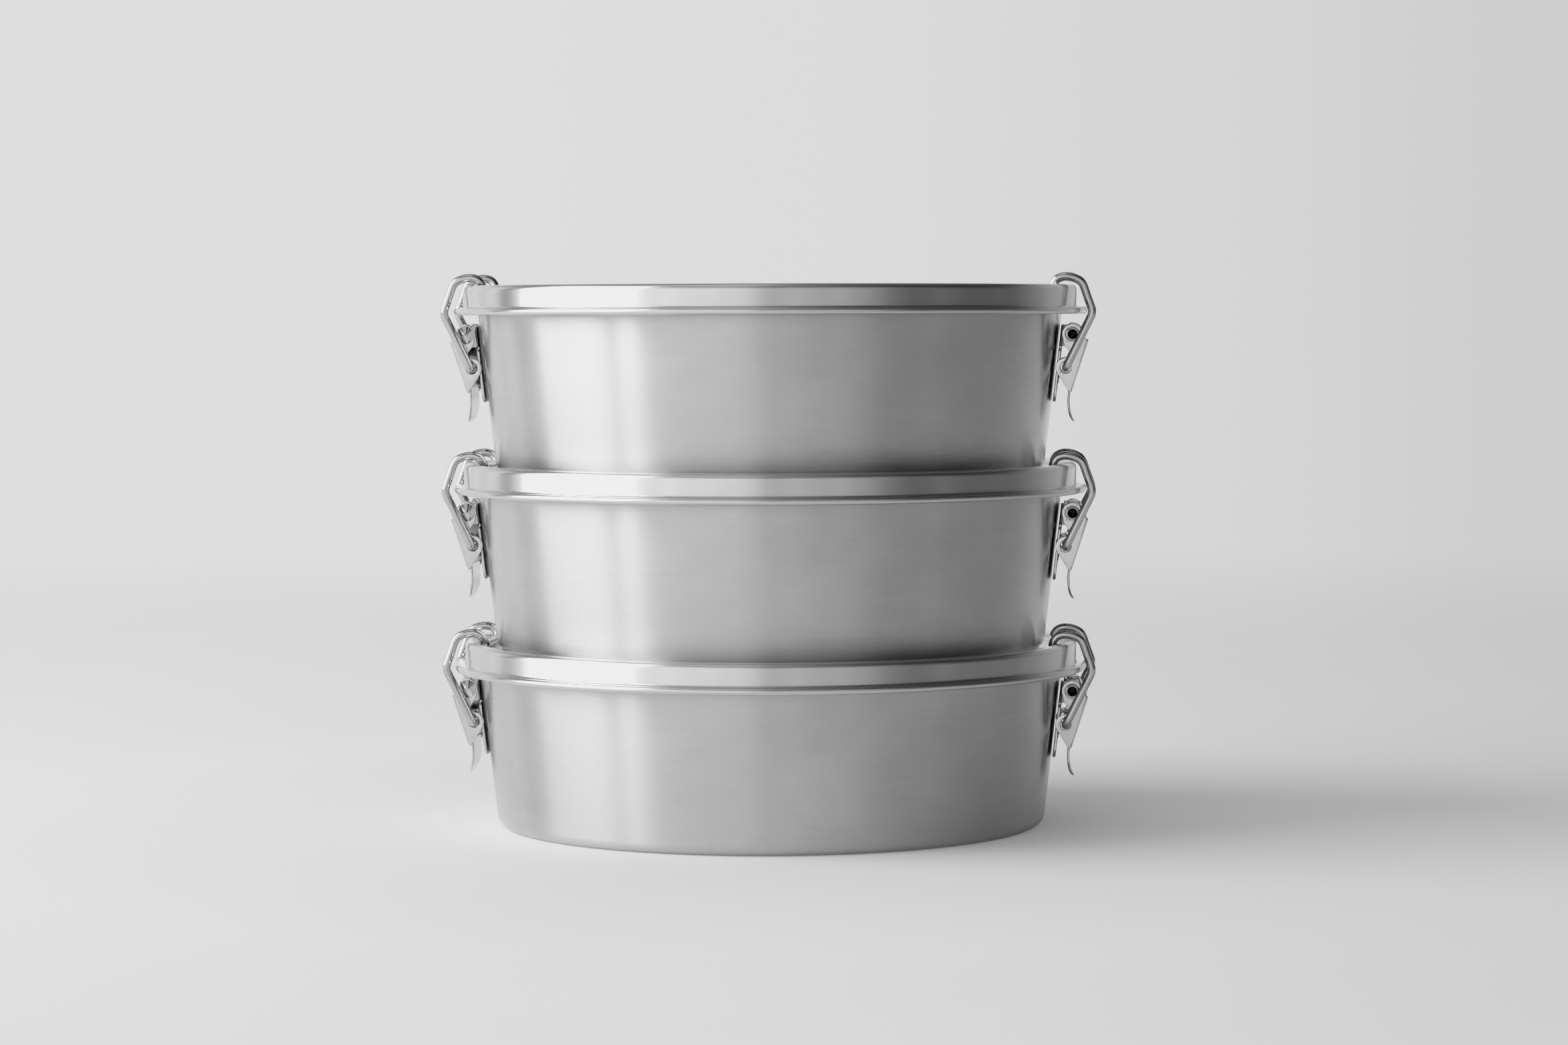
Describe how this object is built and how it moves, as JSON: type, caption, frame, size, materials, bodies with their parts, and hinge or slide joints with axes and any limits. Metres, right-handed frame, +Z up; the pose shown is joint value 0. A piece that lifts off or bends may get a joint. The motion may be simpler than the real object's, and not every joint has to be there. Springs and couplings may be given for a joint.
{
  "type": "tiffin carrier",
  "caption": "Round steel food containers stacked on one another, each with a recessed lid held down at both sides by a wire bail and over-centre lever.",
  "frame": {"origin": "middle of the lowest container's base, on the surface it stands on", "axes": "+Z up the stack; +X and -X towards the two columns of latches; +Y across them"},
  "size_m": [0.1678, 0.1632, 0.1421],
  "materials": {
    "wall_steel": "fine brushing round the wall",
    "lid_steel": "smooth satin",
    "latch_steel": "polished",
    "seal": "matt silicone"
  },
  "bodies": {
    "container_1": {"container_1": "wall_steel", "bracket_1_right": "latch_steel", "pin_1_right": "latch_steel", "bracket_1_left": "latch_steel", "pin_1_left": "latch_steel"},
    "lid_1": {"lid_1": "lid_steel", "gasket_1": "seal"},
    "lever_1_right": {"lever_1_right": "latch_steel"},
    "bail_1_right": {"bail_1_right": "latch_steel"},
    "lever_1_left": {"lever_1_left": "latch_steel"},
    "bail_1_left": {"bail_1_left": "latch_steel"},
    "container_2": {"container_2": "wall_steel", "bracket_2_right": "latch_steel", "pin_2_right": "latch_steel", "bracket_2_left": "latch_steel", "pin_2_left": "latch_steel"},
    "lid_2": {"lid_2": "lid_steel", "gasket_2": "seal"},
    "lever_2_right": {"lever_2_right": "latch_steel"},
    "bail_2_right": {"bail_2_right": "latch_steel"},
    "lever_2_left": {"lever_2_left": "latch_steel"},
    "bail_2_left": {"bail_2_left": "latch_steel"},
    "container_3": {"container_3": "wall_steel", "bracket_3_right": "latch_steel", "pin_3_right": "latch_steel", "bracket_3_left": "latch_steel", "pin_3_left": "latch_steel"},
    "lid_3": {"lid_3": "lid_steel", "gasket_3": "seal"},
    "lever_3_right": {"lever_3_right": "latch_steel"},
    "bail_3_right": {"bail_3_right": "latch_steel"},
    "lever_3_left": {"lever_3_left": "latch_steel"},
    "bail_3_left": {"bail_3_left": "latch_steel"}
  },
  "joints": [
    {"name": "lid_1_lift", "type": "slide", "parent": "container_1", "child": "lid_1", "axis": [0, 0, 1], "range_m": [0, 0.035]},
    {"name": "lever_1_right_swing", "type": "hinge", "parent": "container_1", "child": "lever_1_right", "pos_m": [0.078, 0, 0.03515], "axis": [0, -1, 0], "range_deg": [0, 100.5]},
    {"name": "bail_1_right_swing", "type": "hinge", "parent": "lever_1_right", "child": "bail_1_right", "pos_m": [0.0763, 0, 0.02655], "axis": [0, 1, 0], "range_deg": [0, 287.5]},
    {"name": "lever_1_left_swing", "type": "hinge", "parent": "container_1", "child": "lever_1_left", "pos_m": [-0.078, 0, 0.03515], "axis": [0, 1, 0], "range_deg": [0, 100.5]},
    {"name": "bail_1_left_swing", "type": "hinge", "parent": "lever_1_left", "child": "bail_1_left", "pos_m": [-0.0763, 0, 0.02655], "axis": [0, -1, 0], "range_deg": [0, 287.5]},
    {"name": "tier_2_lift", "type": "slide", "parent": "lid_1", "child": "container_2", "axis": [0, 0, 1], "range_m": [0, 0.03]},
    {"name": "lid_2_lift", "type": "slide", "parent": "container_2", "child": "lid_2", "axis": [0, 0, 1], "range_m": [0, 0.035]},
    {"name": "lever_2_right_swing", "type": "hinge", "parent": "container_2", "child": "lever_2_right", "pos_m": [0.078, 0, 0.0808], "axis": [0, -1, 0], "range_deg": [0, 100.5]},
    {"name": "bail_2_right_swing", "type": "hinge", "parent": "lever_2_right", "child": "bail_2_right", "pos_m": [0.0763, 0, 0.0722], "axis": [0, 1, 0], "range_deg": [0, 287.5]},
    {"name": "lever_2_left_swing", "type": "hinge", "parent": "container_2", "child": "lever_2_left", "pos_m": [-0.078, 0, 0.0808], "axis": [0, 1, 0], "range_deg": [0, 100.5]},
    {"name": "bail_2_left_swing", "type": "hinge", "parent": "lever_2_left", "child": "bail_2_left", "pos_m": [-0.0763, 0, 0.0722], "axis": [0, -1, 0], "range_deg": [0, 287.5]},
    {"name": "tier_3_lift", "type": "slide", "parent": "lid_2", "child": "container_3", "axis": [0, 0, 1], "range_m": [0, 0.03]},
    {"name": "lid_3_lift", "type": "slide", "parent": "container_3", "child": "lid_3", "axis": [0, 0, 1], "range_m": [0, 0.035]},
    {"name": "lever_3_right_swing", "type": "hinge", "parent": "container_3", "child": "lever_3_right", "pos_m": [0.078, 0, 0.12645], "axis": [0, -1, 0], "range_deg": [0, 100.5]},
    {"name": "bail_3_right_swing", "type": "hinge", "parent": "lever_3_right", "child": "bail_3_right", "pos_m": [0.0763, 0, 0.11785], "axis": [0, 1, 0], "range_deg": [0, 287.5]},
    {"name": "lever_3_left_swing", "type": "hinge", "parent": "container_3", "child": "lever_3_left", "pos_m": [-0.078, 0, 0.12645], "axis": [0, 1, 0], "range_deg": [0, 100.5]},
    {"name": "bail_3_left_swing", "type": "hinge", "parent": "lever_3_left", "child": "bail_3_left", "pos_m": [-0.0763, 0, 0.11785], "axis": [0, -1, 0], "range_deg": [0, 287.5]}
  ],
  "couplings": [
    {"joint": "lever_1_right_swing", "follows": "lid_1_lift", "rad_per_m": 49.867},
    {"joint": "bail_1_right_swing", "follows": "lid_1_lift", "rad_per_m": 143.12},
    {"joint": "lever_1_left_swing", "follows": "lid_1_lift", "rad_per_m": 49.867},
    {"joint": "bail_1_left_swing", "follows": "lid_1_lift", "rad_per_m": 143.12},
    {"joint": "lever_2_right_swing", "follows": "lid_2_lift", "rad_per_m": 49.867},
    {"joint": "bail_2_right_swing", "follows": "lid_2_lift", "rad_per_m": 143.12},
    {"joint": "lever_2_left_swing", "follows": "lid_2_lift", "rad_per_m": 49.867},
    {"joint": "bail_2_left_swing", "follows": "lid_2_lift", "rad_per_m": 143.12},
    {"joint": "lever_3_right_swing", "follows": "lid_3_lift", "rad_per_m": 49.867},
    {"joint": "bail_3_right_swing", "follows": "lid_3_lift", "rad_per_m": 143.12},
    {"joint": "lever_3_left_swing", "follows": "lid_3_lift", "rad_per_m": 49.867},
    {"joint": "bail_3_left_swing", "follows": "lid_3_lift", "rad_per_m": 143.12}
  ]
}
